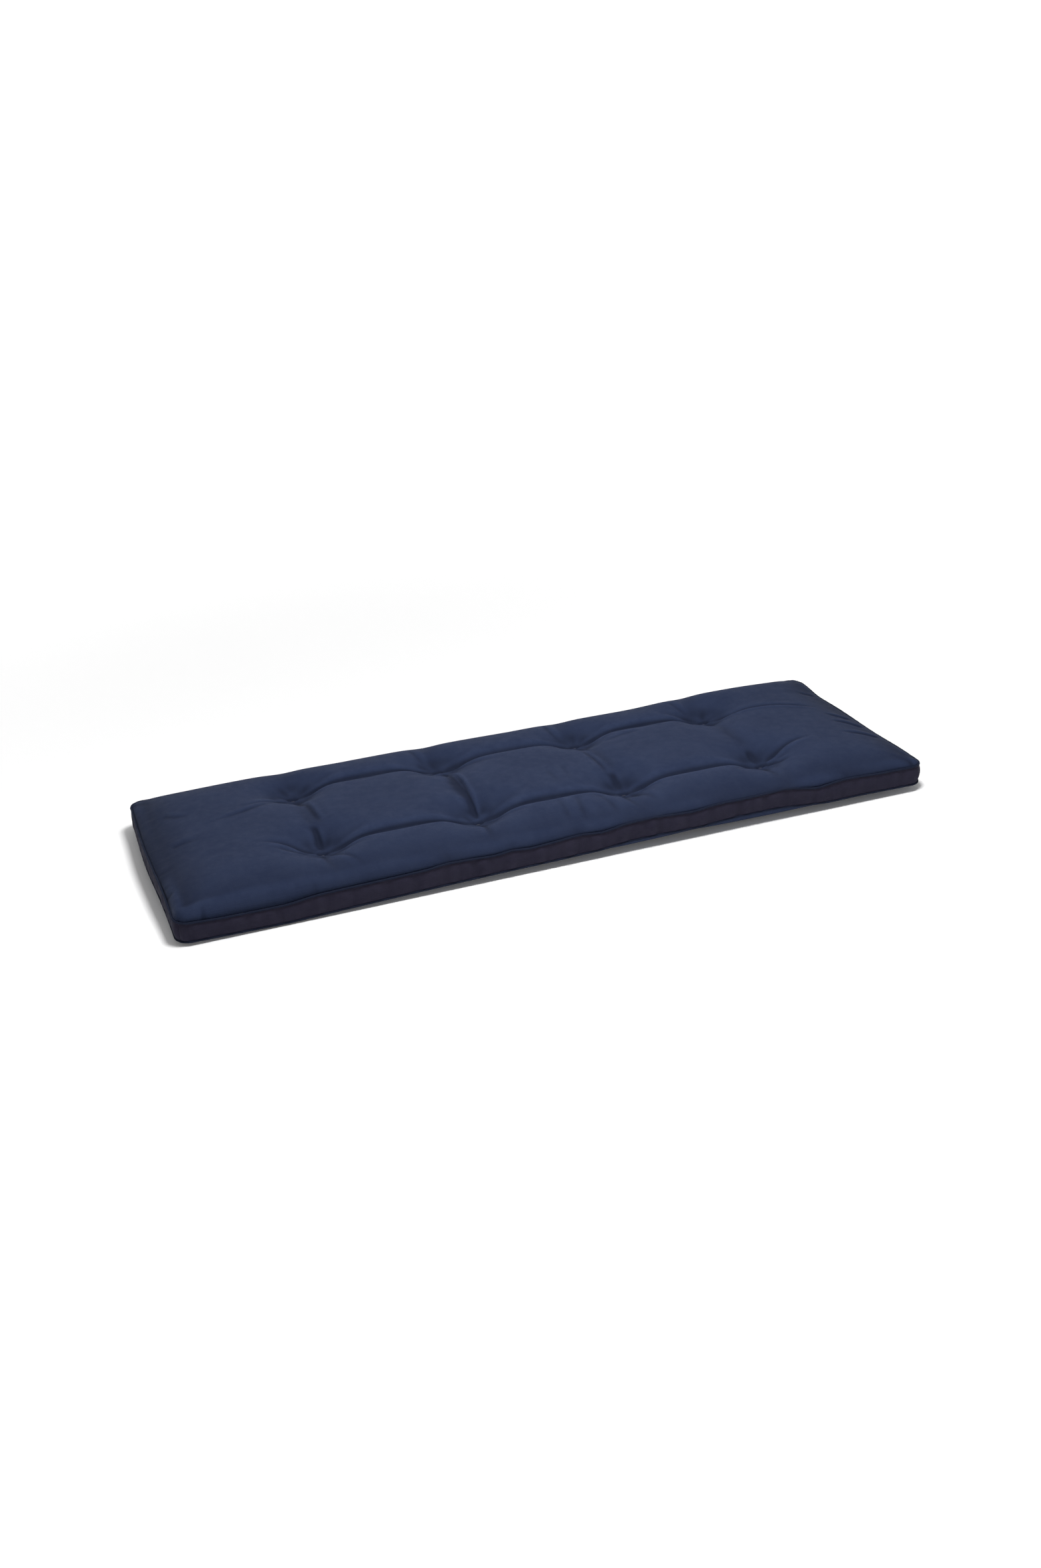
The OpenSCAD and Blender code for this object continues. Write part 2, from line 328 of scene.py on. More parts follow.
def simulate_face(grid, pins, frames, flip):
    for (i, j), (spot, _) in pins.items():
        grid[i, j] = spot
    cut = np.zeros_like(grid)
    cut[..., 0] = stretched(PLAN_X, last_x, *CUT_ALONG)
    cut[..., 1] = stretched(PLAN_Y, ROW_Y, *CUT_ACROSS)
    pinned = {i * ny + j: w for (i, j), (_, w) in pins.items()}
    pinned.update({int(i) * ny + int(j): 1.0 for i, j in rim})
    out = simulate(
        grid.reshape(-1, 3), grid_quads(nx, ny, flip=flip), cut.reshape(-1, 3), pinned, frames, **FACE
    )
    return out.reshape(nx, ny, 3)


def tuft_pins(z):
    out = {}
    for tx, ty in TUFTS:
        i, j = near(gx, tx), near(gy, ty)
        for di in (-1, 0, 1):
            out[i + di, j] = ((gx[i + di], gy[j], z), 1.0)
    return out


def crease_pins(z0, row_rise, rows, across):
    """Points held along the creases: from tuft to tuft in each row, and across each pair.

    A crease across a pair is held over its whole length, or only over a share of it at each end.
    """
    out = {}
    for j, bows in zip((front_j, back_j), rows):
        for a, b, bow in zip(TUFT_XS, TUFT_XS[1:], bows):
            ia, ib = near(gx, a), near(gx, b)
            for i in range(ia + 1, ib):
                arch = math.sin(math.pi * (i - ia) / (ib - ia))
                out[i, j] = ((gx[i], gy[j] + bow * arch, z0 + row_rise * arch**0.7), 1.0)
    for x, (bow, rise, weight, power, share) in zip(TUFT_XS, across):
        i = near(gx, x)
        for j in range(front_j + 1, back_j):
            t = (j - front_j) / (back_j - front_j)
            if min(t, 1 - t) > share:
                continue
            arch = math.sin(math.pi * t)
            out[i, j] = ((x + bow * arch**0.8, gy[j], z0 + rise * arch**power), weight)
    return out


# Bow of each crease along the front row and the back row, and the creases across the pairs:
# bow, rise, pin weight, power of the arch, share held at each end
ROWS_TOP = ((4, 1, -2), (9, -5, 2))
ACROSS_TOP = (
    (8, 26, 0.8, 0.7, 0.3), (13, 24, 1.0, 0.5, 0.5), (7, 26, 0.8, 0.7, 0.26), (-4, 26, 0.8, 0.7, 0.2),
)

SIM_FRAMES = 25
CREASE_RISE = 24
top = face_start(TOP_SEAM, TOP_Z - TOP_SEAM - 6, TOP_TUFT_Z, top_seam_z)
pins = crease_pins(TOP_TUFT_Z, CREASE_RISE, ROWS_TOP, ACROSS_TOP)
pins.update(tuft_pins(TOP_TUFT_Z))
top = simulate_face(top, pins, SIM_FRAMES, False)

bottom = face_start(BOTTOM_SEAM, 4 - BOTTOM_SEAM, BOTTOM_TUFT_Z, bottom_seam_z)
bottom = simulate_face(bottom, tuft_pins(BOTTOM_TUFT_Z), max(SIM_FRAMES * 3 // 5, 6), True)

# ---- Border strip ----
BORDER_ROWS = 8
BORDER_BULGE = 3.2
BORDER_CUT_H, BORDER_SLACK = 42, 1.03
ring_dx = np.roll(seam_x, -1) - np.roll(seam_x, 1)
ring_dy = np.roll(seam_y, -1) - np.roll(seam_y, 1)
ring_len = np.hypot(ring_dx, ring_dy)
out_x, out_y = ring_dy / ring_len, -ring_dx / ring_len
ring_s = np.concatenate([[0], np.cumsum(np.hypot(np.diff(seam_x), np.diff(seam_y)))])
ring_total = ring_s[-1] + math.hypot(seam_x[0] - seam_x[-1], seam_y[0] - seam_y[-1])


def ring_wave(seed, waves, at, total, spread, damp=1.0, whole=int):
    """A smooth random wave round a ring, made of whole numbers of cycles."""
    rng = np.random.default_rng(seed)
    out = np.zeros(len(at))
    for cycles, size in waves:
        for _ in range(3):
            c = whole(cycles * rng.uniform(*spread))
            out += size / damp * np.sin(2 * np.pi * (c * at / total + rng.random()))
    return out


border = np.zeros((n_rim, BORDER_ROWS + 1, 3))
pucker = ring_wave(4, ((110, 0.5), (60, 0.6)), ring_s, ring_total, (0.75, 1.3), 1.7, round)
for m in range(BORDER_ROWS + 1):
    t = m / BORDER_ROWS
    push = BORDER_BULGE * math.sin(math.pi * t) + pucker * math.sin(math.pi * t)
    border[:, m, 0] = seam_x + out_x * push
    border[:, m, 1] = seam_y + out_y * push
    border[:, m, 2] = (1 - t) * top_seam_z + t * bottom_seam_z
border_cut = np.zeros_like(border)
for m in range(BORDER_ROWS + 1):
    border_cut[:, m, 0] = seam_x * BORDER_SLACK
    border_cut[:, m, 1] = seam_y * BORDER_SLACK
    border_cut[:, m, 2] = BORDER_CUT_H * (1 - m / BORDER_ROWS)


def ring_quads(n, m):
    k, r = np.meshgrid(np.arange(n), np.arange(m - 1), indexing="ij")
    a, b = k * m + r, (k + 1) % n * m + r
    return np.stack([a, a + 1, b + 1, b], -1).reshape(-1, 4)


border_pins = {}
for k in range(n_rim):
    border_pins[k * (BORDER_ROWS + 1)] = 1.0
    border_pins[k * (BORDER_ROWS + 1) + BORDER_ROWS] = 1.0
border = simulate(
    border.reshape(-1, 3), ring_quads(n_rim, BORDER_ROWS + 1), border_cut.reshape(-1, 3),
    border_pins, SIM_FRAMES, quality=5, mass=0.1, tension_stiffness=40, compression_stiffness=40,
    shear_stiffness=5, bending_stiffness=0.5, uniform_pressure_force=8, pin_stiffness=5,
).reshape(n_rim, BORDER_ROWS + 1, 3)

# ---- Finer grids, folds and creases ----


def doubled(a, axis, ring=False):
    """Twice as many steps along an axis, on smooth curves through the same points."""
    a = np.moveaxis(a, axis, 0)
    if ring:
        before, after, next_ = np.roll(a, 1, 0), np.roll(a, -2, 0), np.roll(a, -1, 0)
        middle = (9 * (a + next_) - before - after) / 16
        out = np.empty((2 * len(a),) + a.shape[1:])
        out[0::2], out[1::2] = a, middle
    else:
        p = np.concatenate([2 * a[:1] - a[1:2], a, 2 * a[-1:] - a[-2:-1]])
        middle = (9 * (p[1:-2] + p[2:-1]) - p[:-3] - p[3:]) / 16
        out = np.empty((2 * len(a) - 1,) + a.shape[1:])
        out[0::2], out[1::2] = a, middle
    return np.moveaxis(out, 0, axis)


def normals(grid, ring=False):
    """Unit normals of a grid, to the left of j seen along i."""
    if ring:
        di = np.roll(grid, -1, 0) - np.roll(grid, 1, 0)
    else:
        di = np.gradient(grid, axis=0)
    dj = np.gradient(grid, axis=1)
    n = np.cross(di, dj)
    return n / np.maximum(np.linalg.norm(n, axis=-1, keepdims=True), 1e-9)


def blurred(a, times):
    for _ in range(times):
        p = np.pad(a, ((1, 1), (1, 1)) + ((0, 0),) * (a.ndim - 2), mode="edge")
        a = (p[1:-1, 1:-1] * 4 + p[:-2, 1:-1] + p[2:, 1:-1] + p[1:-1, :-2] + p[1:-1, 2:]) / 8
    return a


def ease(t):
    t = np.clip(t, 0, 1)
    return t * t * (3 - 2 * t)


def along(path, x, y):
    """Share of the way along a path, and the distance to its left, of points in plan."""
    pts = np.array(path, dtype=float)
    seg = np.diff(pts, axis=0)
    lens = np.hypot(*seg.T)
    starts = np.concatenate([[0], np.cumsum(lens)[:-1]])
    best = np.full(x.shape, 1e9)
    share, side = np.zeros(x.shape), np.zeros(x.shape)
    for k in range(len(seg)):
        px, py = x - pts[k, 0], y - pts[k, 1]
        t = np.clip((px * seg[k, 0] + py * seg[k, 1]) / lens[k] ** 2, 0, 1)
        dx, dy = px - t * seg[k, 0], py - t * seg[k, 1]
        d = np.hypot(dx, dy)
        closer = d < best
        best = np.where(closer, d, best)
        share = np.where(closer, (starts[k] + t * lens[k]) / lens.sum(), share)
        side = np.where(closer, np.sign(seg[k, 0] * py - seg[k, 1] * px), side)
    return share, best * side


def smooth_path(path, steps=8):
    """A Catmull-Rom curve through the points of a path."""
    p = np.array(path, dtype=float)
    if len(p) < 3:
        return p
    p = np.concatenate([2 * p[:1] - p[1:2], p, 2 * p[-1:] - p[-2:-1]])
    out = []
    for k in range(1, len(p) - 2):
        for t in np.linspace(0, 1, steps, endpoint=False):
            a, b, c, d = p[k - 1:k + 3]
            out.append(0.5 * (2 * b + (c - a) * t + (2 * a - 5 * b + 4 * c - d) * t**2
                              + (3 * b - a - 3 * c + d) * t**3))
    return np.array(out + [p[-2]])


def fold(x, y, path, depth, width, ridge=0.5, lean=1, start=0.15, end=0.6):
    """Height of a fold: a sharp groove along a path, with a soft ridge beside it."""
    pts = smooth_path(path)
    reach = 6 * width
    low, high = pts.min(0) - reach, pts.max(0) + reach
    inside = (x > low[0]) & (x < high[0]) & (y > low[1]) & (y < high[1])
    out = np.zeros(x.shape)
    if not inside.any():
        return out
    t, d = along(pts, x[inside], y[inside])
    fade = ease(t / max(start, 1e-3)) * ease((1 - t) / max(end, 1e-3))
    groove = -np.exp(-np.abs(d) / width * np.where(d * lean > 0, 1.0, 0.6))
    swell_ = ridge * np.exp(-(((d * lean - 2.1 * width) / (1.5 * width)) ** 2))
    swell_ += 0.35 * ridge * np.exp(-(((d * lean + 2.6 * width) / (2.0 * width)) ** 2))
    out[inside] = depth * fade * (groove + swell_)
    return out


FINE_X, FINE_Y = (doubled(doubled(p, 0), 1) for p in (PLAN_X, PLAN_Y))
top = doubled(doubled(top, 0), 1)
bottom = doubled(doubled(bottom, 0), 1)
border = doubled(doubled(border, 0, ring=True), 1)

# The filling holds the top down to an even crown, lower towards the ends
CROWN = TOP_Z - TOP_SEAM
edge = np.minimum(HALF_L - np.abs(FINE_X), 400)
side_edge = HALF_W - np.abs(FINE_Y)
ceiling = TOP_SEAM + 1 + (CROWN - 1) * roll(edge + 1, 190) ** 1.25 * roll(side_edge + 1, 110) ** 1.05
gap = top[..., 2] - ceiling
soft, seam_share = 3.0, ease(side_edge / 25) * ease((HALF_L - np.abs(FINE_X)) / 25)
top[..., 2] -= soft * np.logaddexp(0, gap / soft) * seam_share


def off_rim(reach):
    """Share that falls to 0 at the rim."""
    return ease((HALF_L - np.abs(FINE_X)) / reach) * ease((HALF_W - np.abs(FINE_Y)) / reach)


def off_tufts(start):
    """Share that falls to 0 at the tufts."""
    share = np.ones_like(FINE_X)
    for tx, ty in TUFTS:
        share *= ease((np.hypot(FINE_X - tx, FINE_Y - ty) - start) / 10)
    return share


def row_creases(x, y):
    """For each crease along a row: its two tufts, its arch, and the distance from it."""
    for side, bows in zip((-1, 1), ROWS_TOP):
        for a, b, bow in zip(TUFT_XS, TUFT_XS[1:], bows):
            arch = np.sin(np.pi * np.clip((x - a) / (b - a), 0, 1))
            yield a, b, arch, y - side * ROW_Y - bow * arch


# How deep the cloth sinks at a tuft, a row, a pair held part of the way, a pair held all the way,
# and between a tuft and the long side
TUFT_SINK, ROW_SINK, PAIR_SINK, HELD_SINK, SIDE_SINK = 9, 4, 5, 3, 5


def plumper(grid):
    """Rounds the tiles: the cloth sinks further round the tufts, along the rows and across the pairs."""
    x, y = grid[..., 0], grid[..., 1]
    sink = np.zeros(x.shape)
    for tx, ty in TUFTS:
        r = np.hypot(x - tx, (y - ty) * 1.15)
        sink += TUFT_SINK * np.exp(-((r / 55) ** 2)) * ease((r - 6) / 42)
    for a, b, _, d in row_creases(x, y):
        inside = ease((x - a) / 40) * ease((b - x) / 40)
        sink += ROW_SINK * inside * np.exp(-((d / 20) ** 2))
    for tx, (bow, _, _, _, share) in zip(TUFT_XS, ACROSS_TOP):
        t = np.clip((y + ROW_Y) / (2 * ROW_Y), 0, 1)
        d = x - tx - bow * np.sin(np.pi * t) ** 0.8
        inside = ease((y + ROW_Y) / 40) * ease((ROW_Y - y) / 40)
        sink += (PAIR_SINK if share < 0.5 else HELD_SINK) * inside * np.exp(-((d / 26) ** 2))
    # pinches between the tufts and the long sides
    for tx, ty in TUFTS:
        t = np.clip((np.abs(y) - ROW_Y) / (HALF_W - ROW_Y), 0, 1)
        near_side = (y * ty > 0) * np.sin(np.pi * np.clip(t, 0, 1)) ** 0.8
        sink += SIDE_SINK * near_side * np.exp(-(((x - tx) / 32) ** 2))
    out = grid.copy()
    out[..., 2] -= sink
    return out


def smoothed(grid, times):
    """Opens the tight slits of the simulated cloth, away from the tufts and the rim."""
    share = off_rim(12) * off_tufts(7)
    return grid + (blurred(grid, times) - grid) * share[..., None]


top = plumper(smoothed(top, 10))

# Folds of the top panel: (path, depth, width, options)
PLAIN, BACK, LATE, EVEN = {}, dict(lean=-1), dict(end=0.4), dict(start=0.3, end=0.4)
AT_SEAM = dict(start=0.5, end=0.15)
FOLDS = [
    # left end
    (((-462, 112), (-500, 92), (-527, 82), (-565, 66)), 3.2, 4.5, BACK),
    (((-470, 95), (-532, 62), (-580, 42), (-650, 28)), 2.2, 5, BACK),
    (((-456, -122), (-483, -120), (-512, -104), (-575, -84)), 4.0, 5, dict(lean=1)),
    (((-470, -136), (-505, -132), (-550, -112)), 2.2, 5, dict(lean=1)),
    (((-444, 92), (-437, 35), (-434, -10), (-430, -50)), 3.0, 3.5, dict(start=0.35, end=0.3)),
    (((-452, -112), (-450, -85), (-447, -50)), 2.6, 4, PLAIN),
    (((-440, -140), (-428, -172), (-408, -205), (-391, -238)), 2.6, 5, BACK),
    (((-452, -138), (-456, -190), (-440, -238)), 1.8, 6, BACK),
    (((-705, 120), (-680, 96), (-640, 80)), 1.4, 6, PLAIN),
    (((-715, -20), (-680, -18), (-640, -25)), 1.3, 7, PLAIN),
    # second and third pairs
    (((-147, 112), (-140, 70), (-137, 20), (-139, -40), (-147, -95), (-150, -116)), 3.2, 3.2,
     dict(start=0.1, end=0.1)),
    (((-150, -137), (-153, -190), (-157, -236)), 2.4, 5, BACK),
    (((-158, 118), (-172, 105), (-190, 100)), 2.0, 4, PLAIN),
    (((136, 100), (139, 30), (143, -35), (140, -95)), 2.4, 4, dict(start=0.4, end=0.4)),
    (((-140, 60), (-138, 16), (-147, -57), (-152, -100)), 2.6, 3, dict(start=0.3, end=0.3)),
    (((30, -5), (32, -50), (38, -100)), 1.5, 10, dict(start=0.4, end=0.5)),
    (((66, 8), (62, -45), (58, -98)), 1.4, 10, dict(start=0.4, end=0.5)),
    (((6, -142), (2, -190), (-2, -232)), 1.8, 8, LATE),
    (((42, -140), (34, -190), (28, -236)), 2.2, 8, LATE),
    (((84, -146), (92, -190), (94, -236)), 2.2, 8, LATE),
    (((143, -138), (132, -184), (146, -234)), 2.4, 5, BACK),
    (((156, -136), (174, -180), (182, -228)), 2.2, 6, PLAIN),
    (((190, 72), (242, 84), (300, 86)), 1.8, 6, dict(lean=1, start=0.3, end=0.4)),
    (((112, 212), (117, 175), (128, 148)), 2.6, 6, EVEN),
    (((-185, 215), (-178, 180), (-168, 150)), 2.2, 6, EVEN),
    (((400, 210), (415, 175), (430, 148)), 2.2, 6, EVEN),
    # right end
    (((462, 118), (500, 99), (538, 95), (600, 86), (655, 66), (700, 46)), 3.4, 4, dict(lean=-1, end=0.3)),
    (((458, -118), (482, -114), (530, -100), (600, -88)), 4.2, 5, BACK),
    (((455, -122), (472, -134), (500, -128)), 2.6, 4, BACK),
    (((456, -130), (488, -146), (520, -150)), 2.6, 4, dict(lean=1)),
    (((448, -138), (440, -180), (446, -228)), 2.4, 6, dict(lean=1)),
    (((676, 18), (700, 4), (732, -16)), 3.0, 4, AT_SEAM),
    (((664, -26), (700, -38), (733, -66)), 3.2, 4.5, AT_SEAM),
    (((650, -90), (694, -104), (733, -124)), 3.2, 4.5, AT_SEAM),
    (((690, 150), (712, 140), (734, 136)), 2.0, 5, AT_SEAM),
]


def tuft_folds(seed):
    """Short folds that spread from each tuft at uneven angles."""
    rng = np.random.default_rng(seed)
    out = []
    for tx, ty in TUFTS:
        turn = rng.uniform(0, 60)
        for k in range(6):
            a = math.radians(turn + 60 * k + rng.uniform(-16, 16))
            bend = rng.uniform(-0.25, 0.25)
            reach = rng.uniform(34, 62)
            path = [
                (tx + r * math.cos(a + bend * r / reach), ty + r * math.sin(a + bend * r / reach))
                for r in (9, 0.55 * reach, reach)
            ]
            out.append((path, rng.uniform(0.5, 1.3), rng.uniform(4, 6),
                        dict(start=0.2, lean=rng.choice([-1, 1]))))
    return out


def crease_groove(x, y):
    """A thin groove along the rows, so that the cloth turns in sharply at them."""
    out = np.zeros_like(x)
    for a, b, arch, d in row_creases(x, y):
        on = (x > a) & (x < b)
        out += np.where(on, -1.6 * ease(arch * 2.2) * np.exp(-np.abs(d) / 4), 0)
        out += np.where(on, 1.0 * ease(arch * 2.0) * np.exp(-(((np.abs(d) - 12) / 9) ** 2)), 0)
    return out


def folded(grid, lift, folds):
    """A panel moved along its normals by its folds, which keep off the tufts and the rim."""
    for path, depth, width, options in folds:
        lift = lift + fold(FINE_X, FINE_Y, path, depth, width, **options)
    lift = lift * off_tufts(6) * off_rim(10)
    return normals(blurred(grid, 6)) * lift[..., None]


top += folded(top, crease_groove(FINE_X, FINE_Y), FOLDS + tuft_folds(11))

# The bottom panel lies on the floor, and is drawn up round its tufts
bottom -= folded(bottom, np.zeros_like(FINE_X), tuft_folds(23))
floor_soft = 1.2
bottom[..., 2] = floor_soft * np.logaddexp(0, (bottom[..., 2] - 0.6) / floor_soft) + 0.35
bottom[..., 2] -= max(bottom[..., 2].min(), 0)


CORNER_DRAW, BACK_RAISE = 13, 8


def lie(grid):
    """How the pad lies: its front left corner drawn in, and its back roll higher on the right."""
    x, y = grid[..., 0], grid[..., 1]
    out = grid.copy()
    out[..., 0] += CORNER_DRAW * ease((-x - 380) / 380) * ease((90 - y) / 340)
    out[..., 2] += BACK_RAISE * ease((x - 300) / 200) * ease((y - 140) / 80)
    return out


top, bottom, border = lie(top), lie(bottom), lie(border)
n_ring, border_rows = border.shape[:2]

# ---- Materials ----


def tinted(colour, *shares):
    """A colour times one share, or times a share for each channel, with alpha."""
    return tuple(c * k for c, k in zip(colour, shares if len(shares) > 1 else shares * 3)) + (1,)


class Nodes:
    """A short way to build a material's nodes."""

    def __init__(self, name):
        self.mat = bpy.data.materials.new(name)
        self.mat.use_nodes = True
        self.tree = self.mat.node_tree
        self.bsdf = self.tree.nodes["Principled BSDF"]

    def link(self, value, socket):
        if isinstance(value, bpy.types.NodeSocket):
            self.tree.links.new(value, socket)
        else:
            socket.default_value = value

    def node(self, kind, inputs=(), **settings):
        n = self.tree.nodes.new(kind)
        for key, value in settings.items():
            setattr(n, key, value)
        for key, value in dict(inputs).items():
            self.link(value, n.inputs[key])
        return n

    def math(self, op, a, b=0.0, c=0.0):
        return self.node("ShaderNodeMath", {0: a, 1: b, 2: c}, operation=op).outputs[0]

    def mix(self, share, a, b, blend="MIX"):
        n = self.node("ShaderNodeMix", data_type="RGBA", blend_type=blend)
        self.link(share, n.inputs[0])
        self.link(a, n.inputs[6])
        self.link(b, n.inputs[7])
        return n.outputs[2]

    def noise(self, vector, scale, detail=2.0, rough=0.5):
        n = self.node("ShaderNodeTexNoise", {"Vector": vector, "Scale": scale, "Detail": detail,
                                             "Roughness": rough})
        return n.outputs["Fac"]

    def ramp(self, value, low, high, to_low=0.0, to_high=1.0):
        n = self.node("ShaderNodeMapRange", {"Value": value, "From Min": low, "From Max": high,
                                             "To Min": to_low, "To Max": to_high})
        n.clamp = True
        return n.outputs[0]

    def bump(self, height, distance, strength=1.0, below=None):
        n = self.node("ShaderNodeBump", {"Height": height, "Distance": distance, "Strength": strength})
        if below is not None:
            self.link(below, n.inputs["Normal"])
        return n.outputs[0]

    def done(self, tone, rough, normal, sheen):
        for name, value in (("Base Color", tone), ("Roughness", rough), ("Normal", normal)):
            self.link(value, self.bsdf.inputs[name])
        self.bsdf.inputs["Sheen Weight"].default_value = sheen
        return self.mat


SHEEN = 0.03


def woven(name, colour, pitch_mm=0.9, turn=0.0, painted_shade=1.0):
    """Plain-woven cloth. UVs are millimetres on the cloth."""
    m = Nodes(name)
    uv = m.node("ShaderNodeUVMap", uv_map="cloth").outputs[0]
    spun = m.node("ShaderNodeMapping", {"Vector": uv, "Rotation": (0, 0, turn)}).outputs[0]
    # threads are never quite straight or even
    wander = m.node("ShaderNodeTexNoise", {"Vector": spun, "Scale": 0.09, "Detail": 2.0})
    drift = m.node("ShaderNodeVectorMath", {0: wander.outputs["Color"], "Scale": 1.6}, operation="SCALE")
    bent = m.node("ShaderNodeVectorMath", {0: spun, 1: drift.outputs[0]}, operation="ADD").outputs[0]
    axes = m.node("ShaderNodeSeparateXYZ", {0: bent})
    k = math.pi / pitch_mm
    warp = m.math("SINE", m.math("MULTIPLY", axes.outputs[0], k))
    weft = m.math("SINE", m.math("MULTIPLY", axes.outputs[1], k))
    over = m.math("MULTIPLY", warp, weft)
    ribs = m.math("ADD", m.math("ABSOLUTE", warp), m.math("ABSOLUTE", weft))
    weave = m.math("MULTIPLY_ADD", over, 0.35, m.math("MULTIPLY", ribs, 0.35))
    # slubs: threads a little thicker or paler over some centimetres
    slub_x = m.node("ShaderNodeMapping", {"Vector": spun, "Scale": (0.02, 1.1, 1)}).outputs[0]
    slub_y = m.node("ShaderNodeMapping", {"Vector": spun, "Scale": (1.1, 0.02, 1)}).outputs[0]
    slubs = m.math("ADD", m.noise(slub_x, 1.0, 1.0), m.noise(slub_y, 1.0, 1.0))
    clouds = m.noise(spun, 0.012, 3.0, 0.55)
    patches = m.noise(spun, 0.05, 3.0, 0.6)
    lint = m.noise(spun, 0.6, 4.0, 0.7)
    dark, pale = tinted(colour, 0.72, 0.74, 0.78), tinted(colour, 1.26, 1.24, 1.16)
    tone = m.mix(m.ramp(clouds, 0.36, 0.66), dark, pale)
    tone = m.mix(0.55, tone, (*colour, 1))
    tone = m.mix(m.ramp(patches, 0.42, 0.75, 0, 0.35), tone, pale)
    tone = m.mix(m.ramp(slubs, 0.8, 1.25, 0, 0.4), tone, pale)
    tone = m.mix(m.ramp(weave, 0.1, 0.8, 0.45, 0.0), tone, dark)
    tone = m.mix(m.ramp(lint, 0.62, 0.8, 0, 0.25), tone, pale)
    # Painted shade: the cloth is painted darker where it lies below its surroundings, in creases, puckers
    # and round the tufts
    if painted_shade:
        cavity = m.node("ShaderNodeAttribute", attribute_name="painted_shade").outputs["Fac"]
        painted_hollow_shade = m.ramp(cavity, 0.0, 1.0, 0, 0.8 * painted_shade)
        tone = m.mix(painted_hollow_shade, tone, tinted(colour, 0.38, 0.38, 0.4))
        # Paler on the crests, in patches
        crest = m.ramp(cavity, -0.6, -0.04, 0.45 * painted_shade, 0)
        paler_crests = m.math("MULTIPLY", crest, m.ramp(patches, 0.35, 0.6, 0.5, 1))
        tone = m.mix(paler_crests, tone, tinted(colour, 1.45, 1.45, 1.4))
    rough = m.ramp(m.math("ADD", lint, patches), 0.7, 1.3, 0.95, 0.78)
    soft_bump = m.bump(m.math("ADD", patches, m.math("MULTIPLY", slubs, 0.25)), 0.0012, 0.5)
    m.bsdf.inputs["Specular IOR Level"].default_value = 0.12
    m.bsdf.inputs["Sheen Roughness"].default_value = 0.45
    m.bsdf.inputs["Sheen Tint"].default_value = (0.4, 0.55, 1.0, 1)
    return m.done(tone, rough, m.bump(weave, 0.00016, 0.9, soft_bump), SHEEN)


def spun(name, colour, scale=900.0):
    """Thread or twine: fibres that run round it, with a few loose hairs paler than the rest."""
    m = Nodes(name)
    at = m.node("ShaderNodeTexCoord").outputs["Object"]
    fibres = m.noise(at, scale, 3.0, 0.7)
    long_ = m.noise(at, scale * 0.12, 2.0)
    tone = m.mix(m.ramp(fibres, 0.3, 0.7), tinted(colour, 0.6), tinted(colour, 1.5))
    tone = m.mix(m.ramp(long_, 0.4, 0.7, 0, 0.3), tone, tinted(colour, 2.0))
    return m.done(tone, m.ramp(long_, 0.3, 0.7, 0.45, 0.7), m.bump(fibres, 0.0002, 0.8), 0.2)


def fluffy(name, colour, scale, depth):
    """Matted fibre."""
    m = Nodes(name)
    at = m.node("ShaderNodeTexCoord").outputs["Object"]
    stretch = m.node("ShaderNodeMapping", {"Vector": at, "Scale": (1, 3, 5)}).outputs[0]
    strands = m.noise(stretch, scale, 6.0, 0.75)
    clumps = m.noise(at, scale * 0.08, 3.0, 0.6)
    tone = m.mix(m.ramp(strands, 0.3, 0.7), tinted(colour, 0.7), (*colour, 1))
    tone = m.mix(m.ramp(clumps, 0.4, 0.65, 0, 0.5), tone, tinted(colour, 0.85))
    bump = m.bump(m.math("ADD", strands, clumps), depth, 0.8)
    return m.done(tone, m.ramp(clumps, 0.3, 0.7, 0.85, 1.0), bump, 0.3)


def porous(name, colour):
    """Open-cell foam."""
    m = Nodes(name)
    at = m.node("ShaderNodeTexCoord").outputs["Object"]
    cells = m.node("ShaderNodeTexVoronoi", {"Vector": at, "Scale": 700.0}).outputs["Distance"]
    age = m.noise(at, 9.0, 3.0)
    tone = m.mix(m.ramp(cells, 0.1, 0.55), tinted(colour, 0.6), (*colour, 1))
    tone = m.mix(m.ramp(age, 0.4, 0.7, 0, 0.4), tone, tinted(colour, 0.95, 0.85, 0.6))
    return m.done(tone, m.ramp(age, 0.3, 0.7, 0.8, 0.95), m.bump(cells, 0.0006, 0.8), 0.0)


# Under the studio lights the cloth is darker and a little bluer than its flat colour
DEEPER = (0.50, 0.57, 0.66)
PIPING_SHARE = 0.6  # the piping is darker still
BORDER_COLOUR = (0.021, 0.019, 0.036)
COLOUR = {entry["slot"]: tuple(entry["base_color"][:3]) for entry in frame["record"]["materials"]}


def deeper(slot, share=1.0):
    return tuple(share * (c * k) for c, k in zip(COLOUR[slot], DEEPER))


MATERIALS = {
    "cover_fabric": woven("cover_fabric", deeper("cover_fabric")),
    "border_fabric": woven("border_fabric", BORDER_COLOUR, painted_shade=0.4),
    "piping_fabric": woven("piping_fabric", deeper("piping_fabric", PIPING_SHARE), 0.8, math.pi / 4, 0),
    "sewing_thread": spun("sewing_thread", COLOUR["sewing_thread"], 2500.0),
    "tufting_twine": spun("tufting_twine", COLOUR["tufting_twine"], 1400.0),
    "wadding": fluffy("wadding", COLOUR["wadding"], 260.0, 0.0015),
    "foam": porous("foam", COLOUR["foam"]),
}

# ---- Making pieces ----


